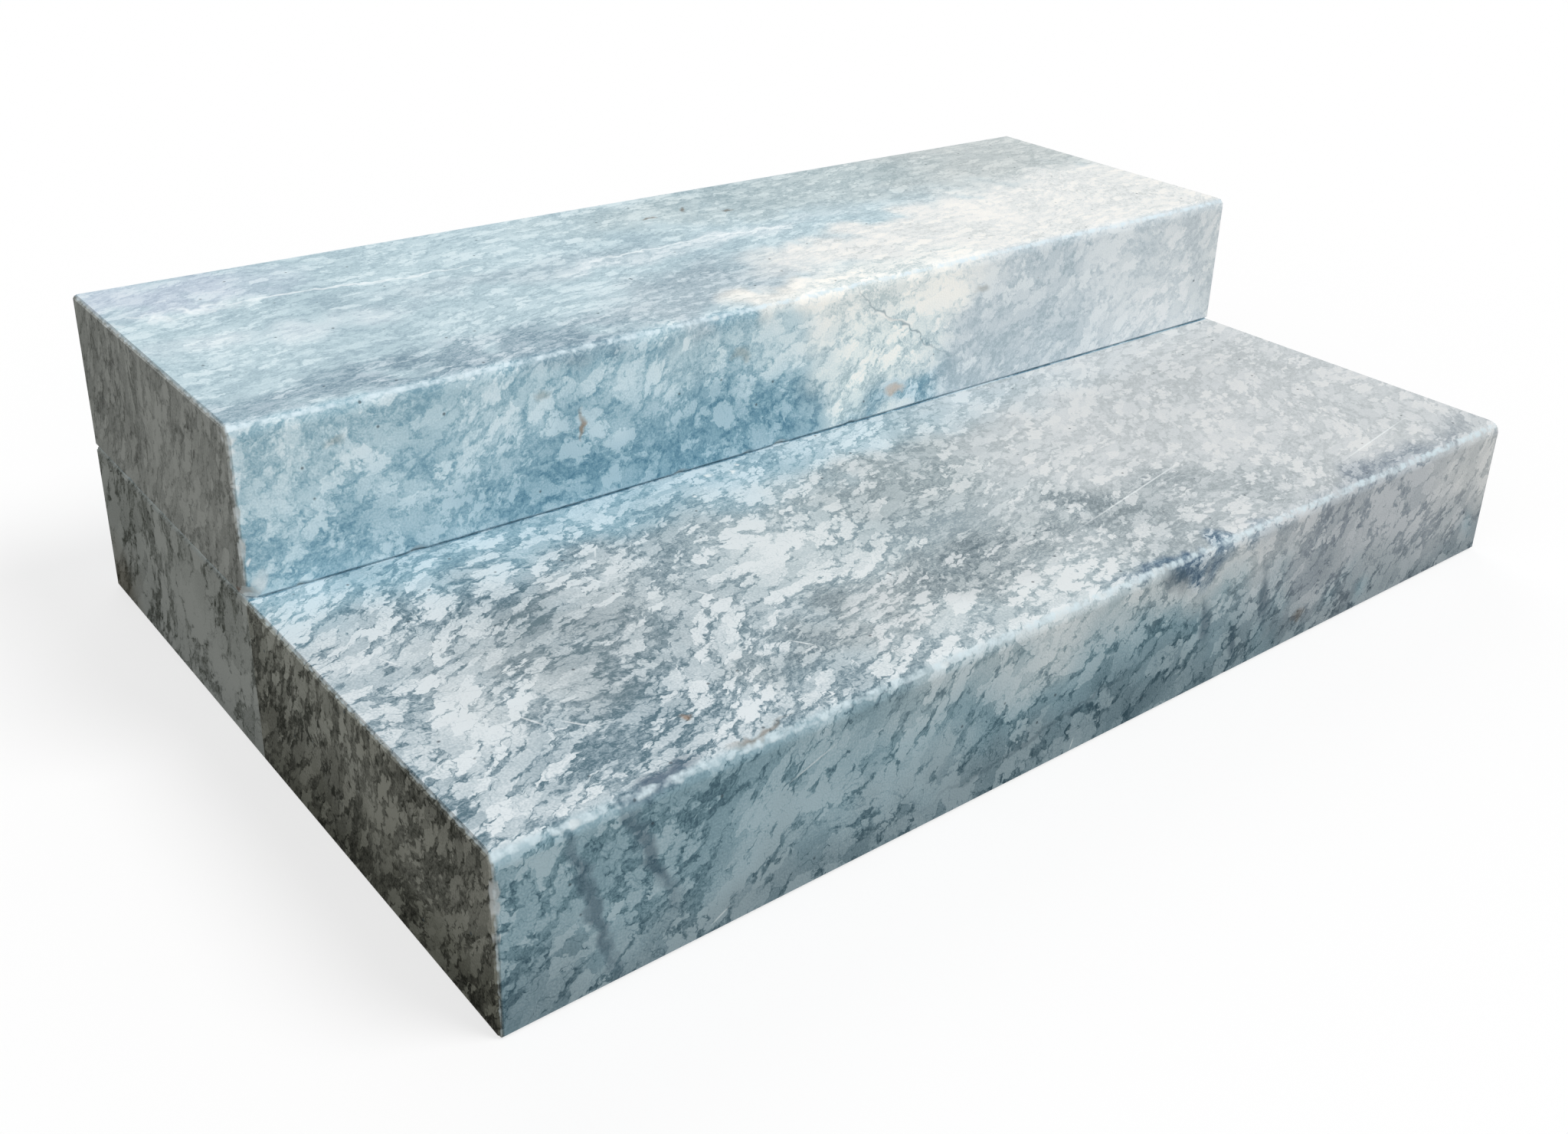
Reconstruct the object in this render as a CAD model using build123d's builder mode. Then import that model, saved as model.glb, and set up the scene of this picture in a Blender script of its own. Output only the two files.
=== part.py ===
"""Two-step garden stair of solid grey-blue marble block steps, in millimetres.

Two blocks lie side by side on the ground and form the lower step. The upper block lies
dry on the back one, flush with it all round, so the butt joint between the lower blocks
is straight below the upper riser and the front block's top is the first tread. X runs
along the steps, -Y is the side one walks up from and +Z is up. The origin is at the
middle of the underside of the whole stair.
"""

import os

from build123d import *

# Sizes that all the blocks share
step_length = 1200.0
arris = 2.5  # width of the small bevel that takes the sharpness off the sawn edges

# Lower step
lower_rise = 150.0
front_block_depth = 390.0  # all of it is the bare first tread
lower_nosing_radius = 10.0

# Upper step
upper_rise = 150.0
back_depth = 365.0  # of the upper block and of the lower block that carries it
upper_nosing_radius = 8.0

# Places that follow from the sizes
left_end = -step_length / 2
stair_front = -(front_block_depth + back_depth) / 2
riser_joint = stair_front + front_block_depth  # upper riser, and the butt joint below it


def section_plane(front, bed):
    """Plane of a block's left end, with its origin at the foot of the block's front face."""
    return Plane(origin=(left_end, front, bed), x_dir=(0, 1, 0), z_dir=(1, 0, 0))


def sawn_section(depth, rise):
    """Draws a sawn block's section in the open sketch: x runs back from the front, y up."""
    Rectangle(depth, rise, align=(Align.MIN, Align.MIN))


def front_corners():
    """Foot and top corner of the open section's front side."""
    return vertices().group_by(Axis.X)[0].sort_by(Axis.Y)


def back_corners():
    """Foot and top corner of the open section's back side."""
    return vertices().group_by(Axis.X)[-1].sort_by(Axis.Y)


def bevel_ends(butt_face=None):
    """Bevels the outline of both sawn ends of the open part, round a nosing as well.

    The edges on a butt face keep the saw's sharpness, so that the joint closes tight.
    """
    end_edges = faces().filter_by(Axis.X).edges()
    kept_sharp = [edge for edge in butt_face.edges() if edge in end_edges] if butt_face else []
    chamfer([edge for edge in end_edges if edge not in kept_sharp], length=arris)


with BuildPart() as lower_front_block:
    with BuildSketch(section_plane(stair_front, 0)):
        sawn_section(front_block_depth, lower_rise)
        chamfer(front_corners().first, length=arris)
        fillet(front_corners().last, radius=lower_nosing_radius)
    extrude(amount=step_length)
    bevel_ends(butt_face=faces().sort_by(Axis.Y).last)
lower_front_block.part.label = "lower_front_block"

with BuildPart() as lower_back_block:
    with BuildSketch(section_plane(riser_joint, 0)):
        sawn_section(back_depth, lower_rise)
        chamfer(back_corners(), length=arris)
    extrude(amount=step_length)
    bevel_ends(butt_face=faces().sort_by(Axis.Y).first)
lower_back_block.part.label = "lower_back_block"

with BuildPart() as upper_block:
    with BuildSketch(section_plane(riser_joint, lower_rise)):
        sawn_section(back_depth, upper_rise)
        chamfer([front_corners().first, *back_corners()], length=arris)
        fillet(front_corners().last, radius=upper_nosing_radius)
    extrude(amount=step_length)
    bevel_ends()
upper_block.part.label = "upper_block"

os.makedirs("parts", exist_ok=True)
for block in (lower_front_block, lower_back_block, upper_block):
    export_step(block.part, f"parts/{block.part.label}.step")
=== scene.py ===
"""Looks of a two-step garden stair of three solid marble block steps.

Each block is a finely gridded mesh with a worn nosing, bevelled and chipped arrises, in
a marble that is drawn in the solid: pale fragments in a darker crushed matrix, laid in
slanting beds. The clouds, veins and stains that stand out, and a painted pool of sunlight, are placed
where they lie.
Places on a block are in millimetres: along from its left end, back from its front face
and up from its bed.
"""

import math

import bpy
import numpy as np
from mathutils import Euler, Matrix, Vector, noise


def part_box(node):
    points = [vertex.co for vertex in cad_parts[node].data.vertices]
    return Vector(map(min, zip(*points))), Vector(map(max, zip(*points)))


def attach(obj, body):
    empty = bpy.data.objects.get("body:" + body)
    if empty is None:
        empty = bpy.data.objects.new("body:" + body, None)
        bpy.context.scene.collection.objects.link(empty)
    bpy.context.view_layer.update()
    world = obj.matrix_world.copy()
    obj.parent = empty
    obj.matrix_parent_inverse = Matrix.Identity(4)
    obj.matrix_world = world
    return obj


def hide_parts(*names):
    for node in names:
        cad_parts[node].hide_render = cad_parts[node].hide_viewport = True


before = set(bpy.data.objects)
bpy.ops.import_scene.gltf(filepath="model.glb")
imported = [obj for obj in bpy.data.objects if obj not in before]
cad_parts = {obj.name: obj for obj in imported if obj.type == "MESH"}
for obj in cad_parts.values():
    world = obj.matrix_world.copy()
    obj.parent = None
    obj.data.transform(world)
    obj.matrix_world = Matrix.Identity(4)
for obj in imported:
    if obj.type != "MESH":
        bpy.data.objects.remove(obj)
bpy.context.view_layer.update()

metre = 1000.0  # millimetres in one
along, back, up = 0, 1, 2  # axes of a place on a block
arris = 2.5  # width of the bevel on the sawn edges

noise.seed_set(2)  # the ragged rims of the zones are then the same each time


def block_corner(node):
    """Left, front, bottom corner of a block in the frame, and its size, in millimetres."""
    low, high = (np.array(corner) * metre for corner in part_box(node))
    return low, high - low


# Shape of the blocks


def grid_lines(length, coarse, fine=0.8, growth=1.28):
    """Distances from one edge to the other, in fine steps near both and coarse ones between."""
    near = [0.0]
    step = fine
    while near[-1] + step < length / 2:
        near.append(near[-1] + step)
        step = min(step * growth, coarse)
    near = np.array(near)
    return np.concatenate([near, length - near[::-1]])


def gridded_box(size):
    """Points and four-sided faces of a box that is closely gridded along its edges.

    Between its edges, the grid is as close as the rims of the zones of shade need.
    """
    lines = (
        grid_lines(size[along], coarse=4.0),
        grid_lines(size[back], coarse=7.5),
        grid_lines(size[up], coarse=6.0),
    )
    points = np.stack(np.meshgrid(*lines, indexing="ij"), axis=-1).reshape(-1, 3)
    shape = [len(places) for places in lines]
    number = np.arange(len(points)).reshape(shape)
    sides = (
        number[0].T, number[-1],
        number[:, 0], number[:, -1].T,
        number[:, :, 0].T, number[:, :, -1],
    )
    quads = [
        np.stack([side[:-1, :-1], side[1:, :-1], side[1:, 1:], side[:-1, 1:]], axis=-1).reshape(-1, 4)
        for side in sides
    ]
    used, faces = np.unique(np.concatenate(quads), return_inverse=True)
    return points[used], faces.reshape(-1, 4)


def wear_depth(points, across, deepest, seed):
    """How far wear reaches into the stone at each point: uneven over about across mm."""
    shift = Vector((seed, 2.3 * seed, -seed)) * 17.0
    return deepest * np.array([0.5 + 0.5 * noise.noise(Vector(p) / across + shift) for p in points])


def round_nosing(points, radius, rise):
    """Presses what stands outside the quarter circle of the nosing onto it."""
    centre = np.array([radius, rise - radius])
    offset = points[:, back:] - centre
    reach = np.hypot(*offset.T)
    outside = (offset[:, 0] < 0) & (offset[:, 1] > 0) & (reach > radius)
    points[outside, back:] = centre + offset[outside] * (radius / reach[outside])[:, None]


def bevel(points, side_a, side_b, width):
    """Presses the edge between two sides flat. A side is an outward normal and its offset."""
    normal = (side_a[0] + side_b[0]) / math.sqrt(2)
    limit = (side_a[1] + side_b[1] - width) / math.sqrt(2)
    over = np.clip(points @ normal - limit, 0, None)
    points -= np.outer(over, normal)


def scoop(points, place, outward, reach, bite):
    """Breaks a shell-shaped chip out at a place: reach is the ball's radius, bite its depth."""
    outward = np.array(outward, float) / np.linalg.norm(outward)
    centre = np.array(place) + outward * (reach - bite)
    offset = points - centre
    distance = np.linalg.norm(offset, axis=1)
    unevenness = 0.1  # share of the reach
    near = np.flatnonzero(distance < reach * (1 + unevenness))
    rough = 1 + unevenness * wear_depth(points[near], reach / 3, 1.0, seed=bite)
    inside = distance[near] < reach * rough
    hit = near[inside]
    points[hit] = centre + offset[hit] * (reach * rough[inside] / distance[hit])[:, None]


def chips_along(rng, start, end, outward, count, largest):
    """Small chips at random places on an edge from start to end."""
    chips = []
    for _ in range(count):
        place = np.array(start) + (np.array(end) - np.array(start)) * rng.random()
        bite = largest * rng.random() ** 2.5 + 0.5
        chips.append((place, outward, bite * rng.uniform(1.6, 3.5), bite))
    return chips


def bevel_block(points, size, nosing_radius, butt_side):
    """Takes the sharpness off the sawn edges, apart from those on the butt side."""
    axes = np.eye(3)
    sides = {
        "left": (-axes[along], 0.0), "right": (axes[along], size[along]),
        "front": (-axes[back], 0.0), "rear": (axes[back], size[back]),
        "bed": (-axes[up], 0.0), "top": (axes[up], size[up]),
    }
    if nosing_radius:
        round_nosing(points, nosing_radius, size[up])
    for a in ("left", "right", "front", "rear"):
        for b in ("front", "rear", "bed", "top"):
            apart = a == b or {a, b} == {"front", "rear"}
            rounded = nosing_radius and (a, b) == ("front", "top")
            if not apart and not rounded and butt_side not in (a, b):
                bevel(points, sides[a], sides[b], arris)
    if nosing_radius:
        # The bevel of the ends follows the nosing round
        slant = (sides["front"][0] + sides["top"][0]) / math.sqrt(2)
        edge_of_arc = (size[up] - 2 * nosing_radius) / math.sqrt(2) + nosing_radius
        for end in ("left", "right"):
            bevel(points, sides[end], (slant, edge_of_arc), arris)


def wear_edges(points, sawn, seed):
    """Wears bevels and nosings unevenly. Returns how far they lay off the sharp sawn box."""
    moved = np.linalg.norm(points - sawn, axis=1)
    edge = moved > 0.05
    depth = (wear_depth(points[edge], 22.0, 0.9, seed)
             + wear_depth(points[edge], 5.0, 0.5, seed + 1))
    inward = (points[edge] - sawn[edge]) / moved[edge][:, None]
    points[edge] += inward * depth[:, None]
    return moved


def shape_block(node, nosing_radius=None, butt_side=None, chips=(), seed=1):
    """Makes a block's mesh in place of its node: bevelled, worn and chipped."""
    corner, size = block_corner(node)
    points, faces = gridded_box(size)
    sawn = points.copy()
    bevel_block(points, size, nosing_radius, butt_side)
    moved = wear_edges(points, sawn, seed)
    before_chips = points.copy()
    for chip in chips:
        scoop(points, *chip)
    chipped = np.linalg.norm(points - before_chips, axis=1)

    mesh = bpy.data.meshes.new(node + "_stone")
    mesh.from_pydata(((points + corner) / metre).tolist(), [], faces.tolist())
    mesh.polygons.foreach_set("use_smooth", np.ones(len(faces), bool))
    mesh.set_sharp_from_angle(angle=math.radians(40))
    most_rubbed = 1.6  # millimetres off the box from which an edge looks no more rubbed
    rubbed = np.minimum(moved, most_rubbed)
    mesh.attributes.new("worn", "FLOAT", "POINT").data.foreach_set("value", rubbed)
    mesh.attributes.new("chipped", "FLOAT", "POINT").data.foreach_set("value", chipped)
    stone = bpy.data.objects.new(node + "_stone", mesh)
    bpy.context.scene.collection.objects.link(stone)
    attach(stone, "root")
    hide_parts(node)
    return stone


# Materials

mix_share, mix_ground, mix_over, mix_colour = 0, 6, 7, 2  # sockets of a Mix node for colours


def linear(hex_colour):
    """A colour as a picture editor shows it, #RRGGBB, in a shader's linear values."""
    parts = [int(hex_colour[i:i + 2], 16) / 255 for i in (1, 3, 5)]
    return [p / 12.92 if p <= 0.04045 else ((p + 0.055) / 1.055) ** 2.4 for p in parts] + [1.0]


def add_node(tree, kind, inputs=None, **settings):
    """Adds a node. An input is a plain value or the output socket that feeds it."""
    node = tree.nodes.new("ShaderNode" + kind)
    for name, value in settings.items():
        setattr(node, name, value)
    for key, value in (inputs or {}).items():
        if isinstance(value, bpy.types.NodeSocket):
            tree.links.new(value, node.inputs[key])
        else:
            node.inputs[key].default_value = value
    return node


def displaced(tree, place, across, reach, detail):
    """The place, pulled about by up to reach mm in swirls of about across mm."""
    swirl = add_node(tree, "TexNoise", {"Vector": place, "Scale": 1 / across, "Detail": detail,
                                        "Roughness": 0.6}, normalize=False)
    return add_node(tree, "VectorMath", {0: swirl.outputs["Color"], 1: (reach,) * 3, 2: place},
                    operation="MULTIPLY_ADD").outputs[0]


def between(start, end, width, depth, inwards=(0, 0, 1)):
    """Middle, half sizes and turn of a long egg from one place to another on a face."""
    start, end = Vector(start), Vector(end)
    run = end - start
    across = Vector(inwards).cross(run).normalized()
    axes = Matrix((run.normalized(), across, run.cross(across).normalized())).transposed()
    turn = [math.degrees(a) for a in axes.to_euler()]
    return (start + end) / 2, (run.length / 2, width / 2, depth), turn


class Marble:
    """Marble of one block, drawn in the solid: pale fragments in a darker, crushed matrix.

    The mesh carries four shades at each point, from the matrix to the palest fragments,
    and how much of the stone was left whole there. Faces and zones lay theirs over one
    another. Thin marks are laid over the figure in the material.
    """

    shade_count = 4
    mark_depth = 14.0  # millimetres that a mark reaches into the stone

    def __init__(self, stone, node, seed):
        self.stone = stone
        self.seed = seed
        self.corner, self.size = block_corner(node)
        places = np.empty(3 * len(stone.data.vertices))
        stone.data.vertices.foreach_get("co", places)
        self.points = places.reshape(-1, 3) * metre - self.corner
        drift_across, drift_reach = 60.0, 30.0
        drift = [
            noise.turbulence_vector(Vector(p) / drift_across + Vector((seed, 0, 0)), 4, False)
            for p in self.points
        ]
        self.drifted = self.points + drift_reach * np.array(drift)
        x, y, _ = self.points.T
        self.riser = np.clip((9.0 - y) / 6.0, 0, 1)
        self.end = np.clip(2.8 - np.minimum(x, self.size[along] - x), 0, 1)
        self.shades = np.zeros((len(self.points), self.shade_count, 3))
        self.whole = np.zeros(len(self.points))
        self.marks = []

    def lay(self, shades, mask, whole=0.0):
        """Lays other shades over what is there, and breaks up or spares the fragments."""
        self.whole += whole * mask
        if shades:
            over = np.array([linear(shade)[:3] for shade in shades])
            self.shades += mask[:, None, None] * (over - self.shades)

    def faces(self, top, front, ends, riser_whole=0.0, end_whole=0.0):
        """Shades of the tread, the riser and the sawn ends. Part of their difference is painted light:
        the ends are darker and greyer as painted shade, and the tread and riser carry a painted bluish
        sheen of the sky over the stone's own blue-grey.
        """
        self.lay(top, np.ones(len(self.points)))
        self.lay(front, self.riser, riser_whole)
        self.lay(ends, self.end, end_whole)

    def zone(self, centre, reach, turn=(0, 0, 0), shades=None, haze=0.3, strength=1.0, whole=0.0,
             only=None):
        """An egg-shaped zone with a ragged, hazy rim. Reach is its half length each way.

        It leaves the ends out, unless it is for the ends only. It can be for the riser only.
        """
        turned = np.array(Euler([math.radians(a) for a in turn]).to_matrix())
        far = np.linalg.norm((self.drifted - np.array(centre)) @ turned / reach, axis=1)
        rim = np.clip((1 + haze - far) / (2 * haze), 0, 1)
        face = self.end if only == "ends" else 1 - self.end
        if only == "riser":
            face = face * self.riser
        self.lay(shades, strength * rim * rim * (3 - 2 * rim) * face, whole)

    def mark(self, start, end, width, colour, strength=0.7, haze=0.5, straight=False):
        """A thin vein, scratch or stain laid over the figure of the face that start lies on."""
        depths = (start[along], start[back], self.size[up] - start[up])
        inwards = np.eye(3)[np.argmin(depths)]
        egg = between(start, end, width, self.mark_depth, inwards)
        self.marks.append((*egg, colour, strength, haze, straight))

    def figure(self, tree, place, fragment, turn=(28, 0, 27), flatness=0.42, streak=9.0,
               fray=1.6, edge_softness=0.4, cloud_share=0.25, thread_share=0.1,
               thread_apart=45.0):
        """Tone of the stone, 0 in the darkest matrix and 1 in the palest fragment."""
        folded = displaced(tree, place, across=150, reach=22, detail=0.0)
        frayed = displaced(tree, folded, across=9, reach=3.0, detail=2.0)
        far_apart = (311.0, -127.0, 53.0)  # so that no two blocks are cut from one spot
        beds = add_node(tree, "Mapping", {
            "Vector": frayed, "Location": [self.seed * shift for shift in far_apart],
            "Rotation": [math.radians(a) for a in turn],
            "Scale": (1.0, flatness, 1.0)}, vector_type="TEXTURE").outputs[0]
        streaks = add_node(tree, "TexNoise", {"Vector": beds, "Scale": 1 / streak, "Detail": 5.0,
                                              "Roughness": 0.72}).outputs["Fac"]
        tone = self.fragments(tree, beds, streaks, fragment, fray, edge_softness)

        # Broad clouds lift and darken the whole, and thin dark threads run through it. The
        # sugary crystals are under 1 mm in the stone, and drawn coarser so that they show.
        clouds = add_node(tree, "TexNoise", {"Vector": folded, "Scale": 1 / 120, "Detail": 2.0},
                          normalize=False).outputs["Fac"]
        net = add_node(tree, "TexNoise", {"Vector": frayed, "Scale": 1 / thread_apart,
                                          "Detail": 2.0}, normalize=False).outputs["Fac"]
        off_thread = add_node(tree, "Math", {0: net}, operation="ABSOLUTE").outputs[0]
        thread = add_node(tree, "MapRange", {"Value": off_thread, "From Max": 0.03,
                                             "To Min": -thread_share, "To Max": 0.0}).outputs[0]
        sugar = add_node(tree, "TexNoise", {"Vector": place, "Scale": 1 / 1.7, "Detail": 0.0},
                         normalize=False).outputs["Fac"]
        for part, share in ((clouds, cloud_share), (thread, 1.0), (sugar, 0.16)):
            tone = add_node(tree, "Math", {0: part, 1: share, 2: tone},
                            operation="MULTIPLY_ADD").outputs[0]
        return tone

    def fragments(self, tree, beds, streaks, fragment, fray, edge_softness):
        """Tone of pale fragments of two sizes, with the matrix in the seams between them."""
        crush = add_node(tree, "TexNoise", {"Vector": beds, "Scale": 1 / 90, "Detail": 2.0},
                         normalize=False).outputs["Fac"]
        spared = add_node(tree, "Attribute", attribute_name="whole").outputs["Fac"]
        large, small = (
            add_node(tree, "TexVoronoi", {"Vector": beds, "Scale": per_fragment / fragment}).outputs
            for per_fragment in (1, 2.6))
        large_lot, small_lot = (
            add_node(tree, "SeparateColor", {"Color": cells["Color"]}).outputs
            for cells in (large, small))

        # How far a place was kept from being crushed: least at the rims of the fragments
        kept = -0.3
        for part, share in ((crush, -0.5), (large_lot["Red"], 0.5), (small_lot["Red"], 0.65),
                            (spared, 1.0), (large["Distance"], -1.9), (small["Distance"], -1.3),
                            (streaks, fray)):
            kept = add_node(tree, "Math", {0: part, 1: share, 2: kept},
                            operation="MULTIPLY_ADD").outputs[0]
        seam = 0.5 * fray - 1.36  # the streaks are 0.5 on average
        pale_share = add_node(tree, "MapRange", {
            "Value": kept, "From Min": seam - edge_softness, "From Max": seam + edge_softness},
            interpolation_type="SMOOTHSTEP").outputs[0]

        # The matrix is dark, and each large fragment has a pale tone of its own
        matrix = add_node(tree, "MapRange", {"Value": streaks, "From Min": 0.3, "From Max": 0.7,
                                             "To Min": 0.02, "To Max": 0.68}, clamp=False)
        body = add_node(tree, "Math", {0: large_lot["Green"], 1: 0.38, 2: 0.45},
                        operation="MULTIPLY_ADD")
        pale = add_node(tree, "Math", {0: streaks, 1: 0.26, 2: body.outputs[0]},
                        operation="MULTIPLY_ADD")
        return add_node(tree, "Mix", {0: pale_share, 2: matrix.outputs[0],
                                      3: pale.outputs[0]}).outputs[0]

    def shade_layers(self, tree, tone):
        """The shades after the darkest, each with its share at the tone."""
        darkest, palest = 0.1, 0.9
        step = (palest - darkest) / (self.shade_count - 1)
        layers = []
        for i in range(1, self.shade_count):
            shade = add_node(tree, "Attribute", attribute_name=f"shade_{i}").outputs["Color"]
            share = add_node(tree, "MapRange", {"Value": tone, "From Min": darkest + step * (i - 1),
                                                "From Max": darkest + step * i}).outputs[0]
            layers.append((share, shade))
        return layers

    def mark_layers(self, tree, place):
        """The thin marks, each with its share."""
        wandering = displaced(tree, place, across=24, reach=7, detail=2.0)
        layers = []
        for centre, reach, turn, colour, strength, haze, straight in self.marks:
            inside = add_node(tree, "Mapping", {
                "Vector": place if straight else wandering, "Location": centre,
                "Rotation": [math.radians(a) for a in turn], "Scale": reach},
                vector_type="TEXTURE").outputs[0]
            far = add_node(tree, "VectorMath", {0: inside}, operation="LENGTH").outputs["Value"]
            share = add_node(tree, "MapRange", {"Value": far, "From Min": 1 - haze, "From Max": 1 + haze,
                                                "To Min": strength, "To Max": 0.0}).outputs[0]
            layers.append((share, linear(colour)))
        return layers

    def wear_layers(self, tree, place, rubbed, broken, pit_shade_colour):
        """Rubbed and broken arrises bare fresh, pale stone, and fallen grains leave pits, whose dark is
        painted shade.
        """
        fleck = add_node(tree, "TexNoise", {"Vector": place, "Scale": 1 / 7, "Detail": 2.0})
        rub = add_node(tree, "Attribute", attribute_name="worn")
        rubbing = add_node(tree, "Math", {0: fleck.outputs["Fac"], 1: 4.0, 2: rub.outputs["Fac"]},
                           operation="MULTIPLY_ADD")
        rub_share = add_node(tree, "MapRange", {"Value": rubbing.outputs[0], "From Min": 2.9,
                                                "From Max": 4.2, "To Max": 0.85})
        chip = add_node(tree, "Attribute", attribute_name="chipped")
        chip_share = add_node(tree, "MapRange", {"Value": chip.outputs["Fac"], "From Min": 0.2,
                                                 "From Max": 1.0, "To Max": 0.6})
        # Pits are under 1 mm across in the stone, and drawn larger so that they show. They are flat dark
        # spots: their dark is painted shade, as the mesh has no hollows for them.
        pits_apart, pit_radius = 26.0, 1.8
        off_pit = add_node(tree, "TexVoronoi", {"Vector": place, "Scale": 1 / pits_apart})
        pit_share = add_node(tree, "MapRange", {
            "Value": off_pit.outputs["Distance"], "From Min": 0.5 * pit_radius / pits_apart,
            "From Max": pit_radius / pits_apart, "To Min": 0.75, "To Max": 0.0})
        return [(rub_share.outputs[0], linear(rubbed)), (chip_share.outputs[0], linear(broken)),
                (pit_share.outputs[0], linear(pit_shade_colour))]

    def finish(self, name, rubbed, broken, pit_shade_colour, roughness, **figure):
        """Stores the shades in the mesh, and gives the block its material."""
        mesh = self.stone.data
        for i in range(self.shade_count):
            shade = mesh.attributes.new(f"shade_{i}", "FLOAT_VECTOR", "POINT")
            shade.data.foreach_set("vector", np.ascontiguousarray(self.shades[:, i]).ravel())
        mesh.attributes.new("whole", "FLOAT", "POINT").data.foreach_set("value", self.whole)

        material = bpy.data.materials.new(name)
        material.use_nodes = True
        tree = material.node_tree
        where = add_node(tree, "TexCoord")
        place = add_node(tree, "VectorMath", {
            0: where.outputs["Object"], 1: (metre,) * 3, 2: tuple(-self.corner)},
            operation="MULTIPLY_ADD").outputs[0]
        tone = self.figure(tree, place, **figure)
        colour = add_node(tree, "Attribute", attribute_name="shade_0").outputs["Color"]
        layers = [*self.shade_layers(tree, tone), *self.mark_layers(tree, place),
                  *self.wear_layers(tree, place, rubbed, broken, pit_shade_colour)]
        for share, over in layers:
            mix = add_node(tree, "Mix", {mix_share: share, mix_ground: colour, mix_over: over},
                           data_type="RGBA")
            colour = mix.outputs[mix_colour]

        # The stone is dull all over. With the usual strength of reflection, the pale floor would show in
        # its ends and wash their figure out. The sky's sheen on the tops and risers is painted into
        # their shades instead.
        shader = tree.nodes["Principled BSDF"]
        tree.links.new(colour, shader.inputs["Base Color"])
        for socket, value in (("Metallic", 0.0), ("Roughness", roughness), ("IOR", 1.5),
                              ("Specular IOR Level", 0.0)):
            shader.inputs[socket].default_value = value

        # The marks of grinding are far finer than this, and drawn coarser so that they show
        grit_apart, grit_depth = 1.8, 0.7
        grit = add_node(tree, "TexNoise", {"Vector": place, "Scale": 1 / grit_apart, "Detail": 1.0})
        relief = add_node(tree, "Bump", {"Height": grit.outputs["Fac"], "Strength": 0.4,
                                         "Distance": grit_depth / metre})
        tree.links.new(relief.outputs[0], shader.inputs["Normal"])
        mesh.materials.append(material)


# The pieces


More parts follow.
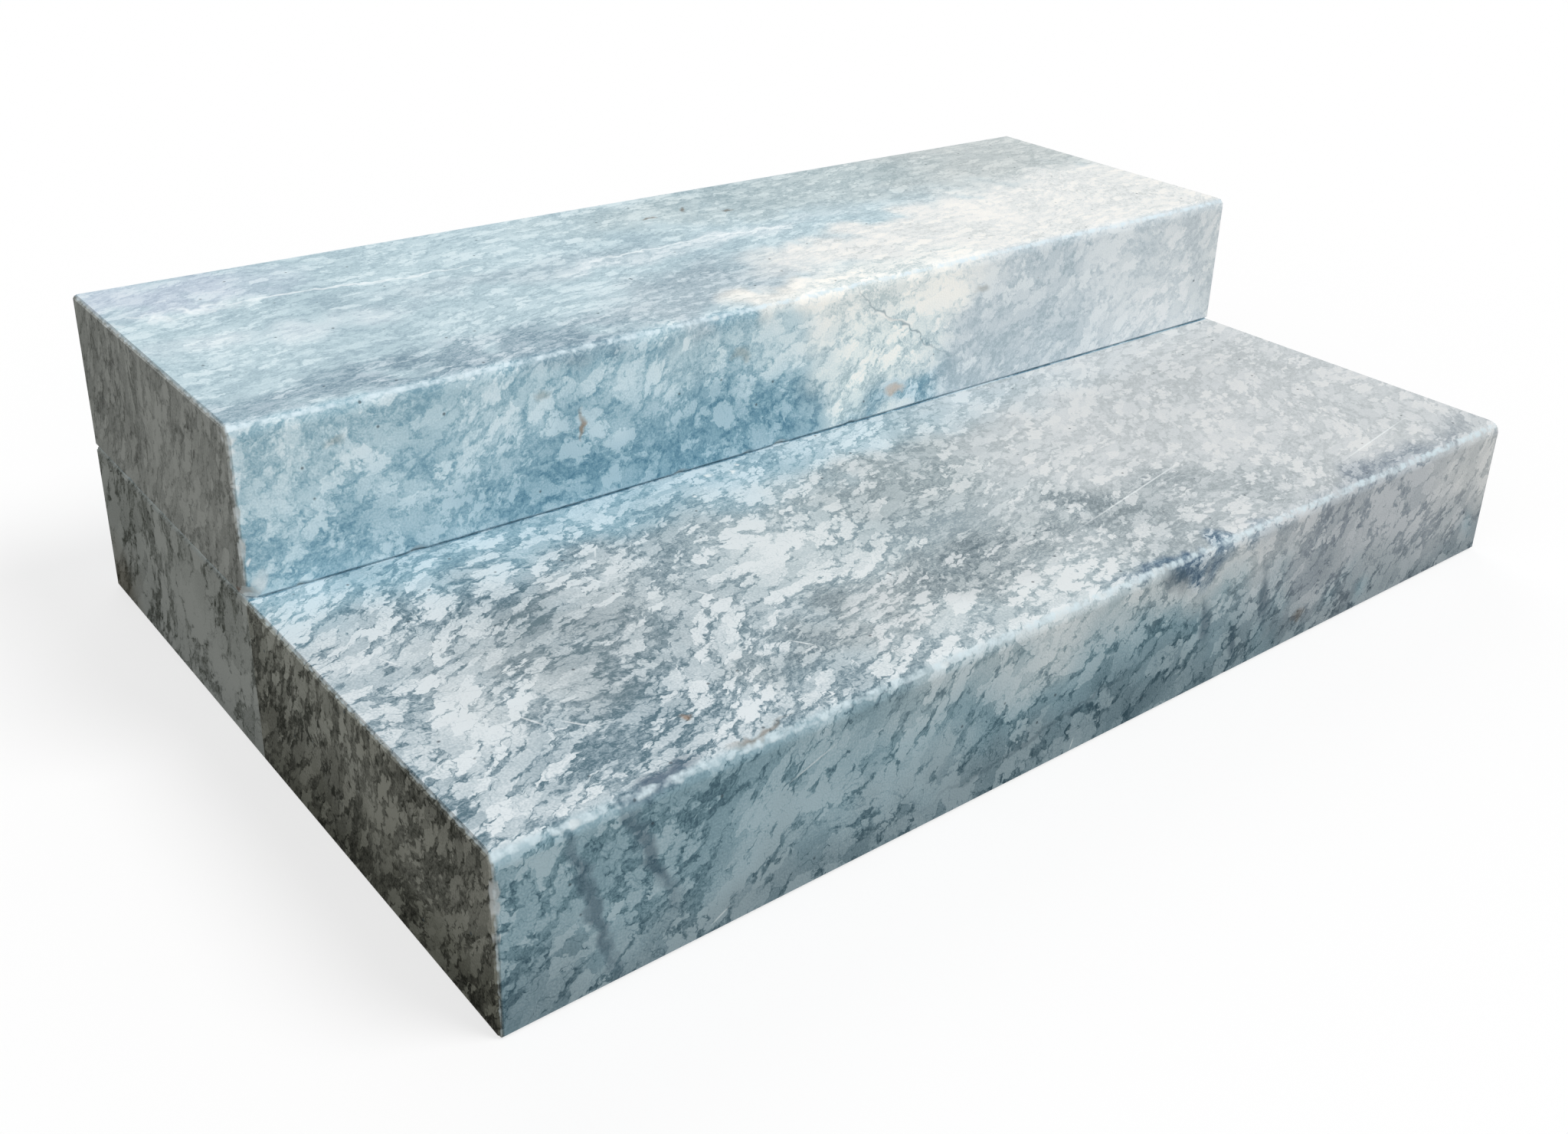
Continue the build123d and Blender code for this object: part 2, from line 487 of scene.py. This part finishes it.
def upper_block():
    """Block with a nosing, light blue, with a painted pool of sunlight that makes the right half of its
    top nearly white.
    """
    length, depth, rise = block_corner("upper_block")[1]
    rng = np.random.default_rng(7)
    broken_foot = ((0, 0, 0), (-1, -1, -0.4), 22.0, 9.0)
    chips = [
        broken_foot,
        *chips_along(rng, (0, 0, rise - 2), (length, 0, rise - 2), (0, -1, 1), 30, 3.0),
        *chips_along(rng, (0, 0, 0), (length, 0, 0), (0, -1, -1), 20, 4.0),
        *chips_along(rng, (0, 0, 0), (0, 0, rise), (-1, -1, 0), 12, 4.0),
        *chips_along(rng, (0, 0, rise), (0, depth, rise), (-1, 0, 1), 14, 3.0),
        *chips_along(rng, (0, 0, 0), (0, depth, 0), (-1, 0, -1), 10, 4.0),
    ]
    stone = shape_block("upper_block", nosing_radius=8.0, chips=chips, seed=1)
    marble = Marble(stone, "upper_block", seed=1.0)
    # Face shades: the ends' are darker and greyer as painted shade, and the top's and riser's carry a
    # painted bluish sky sheen over the stone's blue-grey
    marble.faces(top=("#9CB1BC", "#AFC4CC", "#BED1D8", "#D1E0E5"),
                 front=("#7298AA", "#90B1BF", "#AEC8D2", "#CDDFE6"),
                 ends=("#656865", "#838784", "#969A97", "#ABAFAC"),
                 riser_whole=0.1, end_whole=0.2)
    # Shades of a painted pool of sunlight
    white = ("#C9CDCC", "#DBDFDF", "#E5E6E4", "#EDECE8")

    # Clouds on the top, from the back to the front, and a painted pool of sunlight on its right front
    # half
    marble.zone((1100, 310, rise), (330, 130, 60), haze=0.5,
                shades=("#ABB3B4", "#BBC3C4", "#C6CCCC", "#D3D8D7"))
    marble.zone((740, 310, rise), (250, 75, 40), haze=0.5, strength=0.8,
                shades=("#93A6AC", "#AABABF", "#BAC8CB", "#CED9DB"))
    marble.zone((360, 205, rise), (160, 28, 30), haze=0.6, strength=0.8,
                shades=("#93A7B1", "#A5B7C1", "#B4C5CD", "#C7D5DB"))
    marble.zone((560, 190, rise), (200, 14, 22), (0, 0, 3), haze=0.6, strength=0.8,
                shades=("#B4C5CD", "#C8D6DC", "#D6E0E5", "#E6ECEF"))
    marble.zone((130, 175, rise), (130, 24, 24), haze=0.6, strength=0.8,
                shades=("#B7C6CF", "#C8D5DC", "#D4DFE4", "#E2EAED"))
    marble.zone((60, 320, rise), (110, 60, 24), haze=0.6,
                shades=("#A6B5C4", "#B7C4D1", "#C3CFDA", "#D2DBE3"))
    marble.zone((220, 26, rise), (330, 40, 14), (0, 0, 3), haze=0.5,
                shades=("#768E9C", "#94A9B4", "#AABBC5", "#C4D1D8"), whole=-0.15)
    marble.zone((500, 70, rise), (130, 60, 30), (0, 0, 15), haze=0.5,
                shades=("#879BA7", "#A0B1BA", "#B1C1C9", "#C6D2D8"), whole=-0.15)
    # Painted pool of sunlight: the two near-white zones over the right front half of the top
    marble.zone((1050, 62, rise), (330, 150, 40), (0, 0, 4), shades=white, haze=0.16)
    marble.zone((850, 92, rise), (280, 66, 40), shades=white, haze=0.2)
    marble.zone((560, 12, rise), (72, 34, 24), haze=0.4,
                shades=("#D2D0CB", "#E2DFD9", "#EBE8E2", "#F3F0EA"))
    # Clouds on the riser
    marble.zone((1060, 0, 75), (400, 60, 160), haze=0.25, only="riser",
                shades=("#A5B5BD", "#B8C5CC", "#C9D2D7", "#D9E0E3"))
    marble.zone((390, 0, 26), (300, 40, 50), haze=0.5,
                shades=("#577F93", "#6F95A6", "#89AAB8", "#AAC4CF"))
    marble.zone((1200, 0, 60), (190, 60, 120), haze=0.5, only="riser",
                shades=("#B5C0C6", "#C6CFD4", "#D2D9DC", "#DFE3E5"))
    marble.zone((120, 0, 130), (190, 40, 50), haze=0.5, strength=0.7, only="riser",
                shades=("#7FA2B1", "#9EBAC5", "#BAD0D8", "#D8E5EA"))
    marble.zone((662, 0, 80), (74, 60, 110), (0, 22, 0), haze=0.5, only="riser",
                shades=("#A9BDC3", "#CFDCDE", "#E8EEEC", "#F6F5F0"))
    marble.zone((670, 0, rise), (130, 50, 50), haze=0.5,
                shades=("#BCC9CB", "#DBE1E0", "#EBEDEA", "#F6F4EE"))
    marble.zone((470, 0, 118), (90, 30, 34), haze=0.5, strength=0.6,
                shades=("#8FA9B4", "#ABC3CC", "#C3D5DA", "#DCE6E8"))
    marble.zone((690, 0, 8), (55, 16, 20), haze=0.4,
                shades=("#64899C", "#83A5B4", "#A5C0CC", "#CADCE4"))

    # Rust at the broken foot, pale flecks up the left edge, a crack, and stains on the riser
    marble.mark((0, 16, 3), (0, 4, 8), 7.0, "#5E4030", 0.7)
    for height in (34, 52, 97, 109, 128, 139):
        marble.mark((3, 0, height - 4), (4, 0, height + 4), 4.0, "#E3EBEE", 0.85)
    marble.mark((9, 0, 4), (16, 0, 22), 9.0, "#D9E0E2", 0.7)
    marble.mark((628, 0, 138), (738, 0, 58), 2.4, "#5F7C8A", 0.6)
    marble.mark((640, 0, 122), (700, 0, 90), 3.0, "#F3F2EE")
    marble.mark((670, 0, 24), (694, 0, 27), 9.0, "#CDB19A", 0.6)
    marble.mark((309, 0, 68), (309, 0, 88), 5.0, "#8A6A45")
    for left, height in ((82, 118), (270, 112), (484, 104), (800, 110)):
        marble.mark((left - 8, 0, height), (left + 8, 0, height), 10.0, "#80827B", 0.4)

    # Pale veins in two chains and rusty specks on the top
    for start, end in (((0, 262), (110, 266)), ((100, 266), (200, 258)), ((190, 259), (262, 246)),
                       ((255, 247), (335, 250)), ((440, 196), (560, 203)), ((550, 203), (700, 194))):
        marble.mark((*start, rise), (*end, rise), 3.4, "#EDF3F5", 0.75, haze=0.7)
    for left, behind in ((575, 290), (628, 300), (668, 272)):
        marble.mark((left - 5, behind - 4, rise), (left + 5, behind + 4, rise), 5.0, "#6E6153")

    # Marble, sawn and honed with a coarse stone: a clear figure and no gloss. The hazy rims
    # of its flat, frayed fragments give the eye soft, slanting mottle.
    marble.finish("honed_marble_upper_block", rubbed="#D3E2E9", broken="#DCE3E4",
                  pit_shade_colour="#46535B", roughness=0.58, fragment=27.0, turn=(21, 0, 13),
                  flatness=0.36, streak=7.0, edge_softness=0.6, cloud_share=0.24, thread_share=0.12)


def lower_front_block():
    """Block with a nosing whose top is the tread: pale fragments in a grey-blue matrix."""
    length, depth, rise = block_corner("lower_front_block")[1]
    rng = np.random.default_rng(8)
    chips = [
        *chips_along(rng, (0, 0, rise - 3), (length, 0, rise - 3), (0, -1, 1), 30, 3.5),
        *chips_along(rng, (0, 0, 0), (length, 0, 0), (0, -1, -1), 10, 2.5),
        *chips_along(rng, (0, 0, 0), (0, 0, rise), (-1, -1, 0), 10, 4.0),
        *chips_along(rng, (0, 0, rise), (0, depth, rise), (-1, 0, 1), 14, 3.0),
    ]
    stone = shape_block("lower_front_block", nosing_radius=10.0,
                        butt_side="rear", chips=chips, seed=4)
    marble = Marble(stone, "lower_front_block", seed=2.0)
    # Face shades: the ends' are darker and greyer as painted shade, and the tread's and riser's carry a
    # painted bluish sky sheen over the stone's blue-grey
    marble.faces(top=("#5C747F", "#8B9DA6", "#B4C1C7", "#D8DFE2"),
                 front=("#4A6471", "#6A8792", "#85A0AB", "#A2B8C1"),
                 ends=("#3A3C37", "#5E605A", "#7B7D76", "#969890"), riser_whole=0.45)

    # Clouds on the tread, and where its fragments are whole or crushed
    marble.zone((640, 210, rise), (330, 260, 60), (0, 0, 20), haze=0.5, whole=0.1,
                shades=("#83959D", "#A3B1B6", "#BCC7CA", "#DADFE0"))
    marble.zone((1150, 250, rise), (520, 420, 80), (0, 0, 10), haze=0.4,
                shades=("#B2B8BA", "#C1C6C8", "#CACED0", "#D6D8D8"))
    marble.zone((250, 380, rise), (460, 56, 40), (0, 0, -2), haze=0.8, whole=0.1,
                shades=("#7496A5", "#93B1BD", "#ADC5CF", "#CDDDE4"))
    marble.zone((170, 190, rise), (120, 80, 30), (0, 0, 20), haze=0.6, whole=0.3,
                shades=("#6B7D84", "#8E9BA1", "#B0BABE", "#D2D8DA"))
    marble.zone((40, 250, rise), (80, 110, 30), haze=0.4, whole=0.35)
    marble.zone((50, 70, rise), (60, 80, 30), haze=0.4, whole=0.25)
    marble.zone((400, 200, rise), (130, 60, 30), (0, 0, 20), haze=0.4, whole=0.3)
    marble.zone((575, 262, rise), (90, 62, 30), (0, 0, 20), haze=0.4, whole=-0.2,
                shades=("#7F8C91", "#98A4A8", "#B1BBBE", "#CED3D4"))
    marble.zone((520, 100, rise), (240, 40, 26), (0, 0, 4), haze=0.5, whole=-0.3,
                shades=("#68777E", "#8B979C", "#A9B3B6", "#CBD0D2"))
    marble.zone((420, 34, rise), (280, 20, 26), (0, 0, 2), haze=0.5, whole=0.2)
    marble.zone((760, 70, rise), (180, 60, 26), haze=0.5, strength=0.6, whole=-0.3,
                shades=("#8A9498", "#A3ADB1", "#BAC1C4", "#D3D7D8"))
    marble.zone((700, 2, rise), (120, 9, 20), haze=0.5, whole=-0.7,
                shades=("#51667A", "#738897", "#9DADB8", "#C6D0D6"))
    for start, end, width in (((104, 0), (190, 150), 20.0), ((180, 140), (275, 260), 18.0),
                              ((265, 240), (385, 350), 16.0), ((330, 108), (470, 128), 14.0),
                              ((60, 255), (150, 290), 12.0)):
        crushed_vein = between((*start, rise), (*end, rise), width, 20.0)
        marble.zone(*crushed_vein, haze=0.6, whole=-0.7)

    # Stains, scratches and pale flecks on the tread
    marble.mark((100, 3, rise), (160, 11, rise), 13.0, "#46586A", 0.8)
    marble.mark((183, 55, rise), (193, 55, rise), 8.0, "#8B6B4C")
    marble.mark((192, 8, rise), (238, 14, rise), 6.0, "#6F5F4C", 0.6)
    for start, end in (((47, 254), (55, 236)), ((92, 126), (101, 107)), ((114, 103), (127, 86)),
                       ((262, 296), (272, 312)), ((313, 94), (323, 79)), ((237, 270), (246, 254)),
                       ((297, 201), (304, 188)), ((660, 98), (830, 134)), ((985, 44), (1110, 66))):
        marble.mark((*start, rise), (*end, rise), 1.8, "#E9EDEE", 0.6, straight=True)
    for left, behind in ((437, 369), (455, 367), (471, 378), (398, 345)):
        marble.mark((left - 3, behind, rise), (left + 3, behind, rise), 5.0, "#EEF1F0", 0.85)

    # Clouds on the riser, the riser darker towards its bottom, and the left end lighter high at its back
    # and darker towards its bottom
    marble.zone((1080, 0, 85), (290, 30, 140), haze=0.4,
                shades=("#7B858F", "#929CA4", "#A7AFB5", "#BDC3C8"))
    marble.zone((1210, 0, 120), (120, 30, 90), haze=0.4,
                shades=("#A2A9AE", "#B4BABD", "#C3C8CA", "#D5D8D9"))
    marble.zone((780, 0, 70), (95, 16, 60), haze=0.4, whole=-0.2)
    # Darker towards the bottom of the riser
    marble.zone((560, 0, -30), (1000, 50, 84), haze=0.5, strength=0.7,
                shades=("#33464F", "#51626B", "#687A82", "#83939A"))
    # The left end lighter high at its back, and darker towards its bottom
    marble.zone((0, 320, 125), (30, 130, 60), haze=0.5, only="ends",
                shades=("#454843", "#6A6C66", "#888B84", "#A1A49D"))
    marble.zone((0, 110, 0), (30, 330, 60), haze=0.5, only="ends",
                shades=("#2C2E29", "#4C4D47", "#66685F", "#7F8178"))

    # Dark veins, scratches and a stain on the riser
    for start, end, width in (((54, 146), (92, 8), 10.0), ((98, 146), (140, 48), 12.0),
                              ((716, 92), (722, 52), 15.0), ((800, 97), (813, 40), 13.0),
                              ((762, 50), (771, 14), 11.0), ((652, 149), (682, 118), 16.0)):
        marble.mark((start[0], 0, start[1]), (end[0], 0, end[1]), width, "#465A68", 0.65)
    marble.mark((405, 0, 24), (620, 0, 55), 5.0, "#566A74", 0.5)
    for start, end in (((243, 105), (278, 118)), ((172, 10), (186, 18)), ((549, 5), (552, 14))):
        marble.mark((start[0], 0, start[1]), (end[0], 0, end[1]), 1.6, "#DCE5E8", 0.5, straight=True)
    marble.mark((862, 0, 26), (880, 0, 26), 12.0, "#6B5F52", 0.5)

    # Marble, sawn and honed with a coarse stone: a clear figure and no gloss. The sharp rims
    # of its fragments and the dark threads give the eye a crisp, crackled mottle.
    marble.finish("honed_marble_lower_front_block", rubbed="#C9D8DE", broken="#D5DCDE",
                  pit_shade_colour="#3E4A52", roughness=0.6, fragment=30.0, flatness=0.36,
                  fray=1.1, edge_softness=0.24, thread_share=0.3, thread_apart=30.0)


def lower_back_block():
    """Block under the upper one: grey, with sparse dark veins and a stained corner."""
    _, depth, rise = block_corner("lower_back_block")[1]
    rng = np.random.default_rng(9)
    chips = chips_along(rng, (0, 0, rise), (0, depth, rise), (-1, 0, 1), 8, 3.0)
    stone = shape_block("lower_back_block", butt_side="front",
                        chips=chips, seed=6)
    marble = Marble(stone, "lower_back_block", seed=3.0)
    # Face shades: the ends' are darker and greyer as painted shade
    marble.faces(top=("#8499A4", "#A8B9C2", "#C0CDD4", "#DCE5E9"),
                 front=("#5C8296", "#7CA0B1", "#A0BDCA", "#D2E2E9"),
                 ends=("#50544F", "#7A7F7B", "#979C99", "#A8ADAA"), end_whole=0.3)
    corner_stain = ("#2E291F", "#4A4435", "#5F594A", "#706B5E")
    marble.zone((0, 350, 8), (30, 60, 45), (-20, 0, 0), haze=0.6, strength=0.7, only="ends",
                shades=corner_stain)

    # Marble as the saw left it: duller still, with large fragments that the eye takes for
    # plain stone crossed by dark veins
    marble.finish("sawn_marble_lower_back_block", rubbed="#B1BAB7", broken="#C9CFCC",
                  pit_shade_colour="#2E312E", roughness=0.7, fragment=50.0, thread_share=0.35)


upper_block()
lower_front_block()
lower_back_block()


# Studio


def white_to_camera(tree, seen, lit):
    """Shows one shader to camera, gloss and glass, and lights the object with the other."""
    rays = add_node(tree, "LightPath").outputs
    share = rays["Is Camera Ray"]
    for ray in ("Is Glossy Ray", "Is Transmission Ray"):
        share = add_node(tree, "Math", {0: share, 1: rays[ray]}, operation="MAXIMUM").outputs[0]
    return add_node(tree, "MixShader", {0: share, 1: lit, 2: seen}).outputs[0]


def studio_floor():
    """A wide pale floor, white to the camera but for the object's soft shadow."""
    mesh = bpy.data.meshes.new("floor")
    reach = 30.0  # metres
    mesh.from_pydata([(-reach, -reach, 0), (reach, -reach, 0), (reach, reach, 0), (-reach, reach, 0)],
                     [], [(0, 1, 2, 3)])
    floor = bpy.data.objects.new("floor", mesh)
    bpy.context.scene.collection.objects.link(floor)
    material = bpy.data.materials.new("pale_floor")
    material.use_nodes = True
    tree = material.node_tree
    tree.nodes.clear()
    lit = add_node(tree, "BsdfDiffuse", {"Color": linear("#8C8880")})
    pale = add_node(tree, "BsdfDiffuse", {"Color": linear("#F4F4F4")})
    glow = add_node(tree, "Emission", {"Color": (1, 1, 1, 1), "Strength": 1.0})
    seen = add_node(tree, "MixShader", {0: 0.72, 1: pale.outputs[0], 2: glow.outputs[0]})
    output = add_node(tree, "OutputMaterial")
    tree.links.new(white_to_camera(tree, seen.outputs[0], lit.outputs[0]), output.inputs["Surface"])
    mesh.materials.append(material)


def studio_sky(strength):
    """An even dome of plain light that the camera sees as white."""
    world = bpy.data.worlds.new("studio")
    bpy.context.scene.world = world
    world.use_nodes = True
    tree = world.node_tree
    tree.nodes.clear()
    lit = add_node(tree, "Background", {"Color": (1, 1, 1, 1), "Strength": strength})
    seen = add_node(tree, "Background", {"Color": (1, 1, 1, 1), "Strength": 1.0})
    output = add_node(tree, "OutputWorld")
    tree.links.new(white_to_camera(tree, seen.outputs[0], lit.outputs[0]), output.inputs["Surface"])


def soft_lamp(name, towards, strength, softness):
    """A lamp far off, in the direction towards, whose light is soft-edged."""
    lamp = bpy.data.lights.new(name, "SUN")
    lamp.energy = strength
    lamp.angle = math.radians(softness)
    holder = bpy.data.objects.new(name, lamp)
    holder.rotation_euler = Vector(towards).to_track_quat("Z", "Y").to_euler()
    bpy.context.scene.collection.objects.link(holder)


studio_floor()
studio_sky(0.22)
soft_lamp("key", towards=(0.4, -0.45, 0.8), strength=2.3, softness=30)
soft_lamp("front_fill", towards=(0.0, -0.9, 0.3), strength=0.65, softness=60)
soft_lamp("left_fill", towards=(-0.9, -0.25, 0.35), strength=0.9, softness=70)
soft_lamp("rear_fill", towards=(0.35, 0.8, 0.5), strength=0.8, softness=50)

# Camera, fitted to thirteen corners of the blocks in the photo

photo_width = 2047  # pixels
focal_length = 2117.7  # pixels
optical_centre_left = 62.0  # pixels that the lens's axis lies right of the photo's middle
optical_centre_up = 156.2  # pixels that it lies above the middle
camera_place = (-0.9765, -1.1213, 0.8046)
camera_azimuth = 40.74  # degrees, turned from looking along +Y towards +X
camera_down = 24.26  # degrees
camera_roll = 2.57  # degrees

lens = bpy.data.cameras.new("camera")
lens.sensor_width = 36.0
lens.lens = lens.sensor_width * focal_length / photo_width
lens.shift_x = -optical_centre_left / photo_width
lens.shift_y = -optical_centre_up / photo_width
camera = bpy.data.objects.new("camera", lens)
aim = Euler((math.radians(90 - camera_down), 0, -math.radians(camera_azimuth))).to_matrix()
camera.matrix_world = (Matrix.Translation(camera_place)
                       @ (aim @ Matrix.Rotation(math.radians(camera_roll), 3, "Z")).to_4x4())
bpy.context.scene.collection.objects.link(camera)
bpy.context.scene.camera = camera

bpy.context.scene.view_settings.view_transform = "Standard"
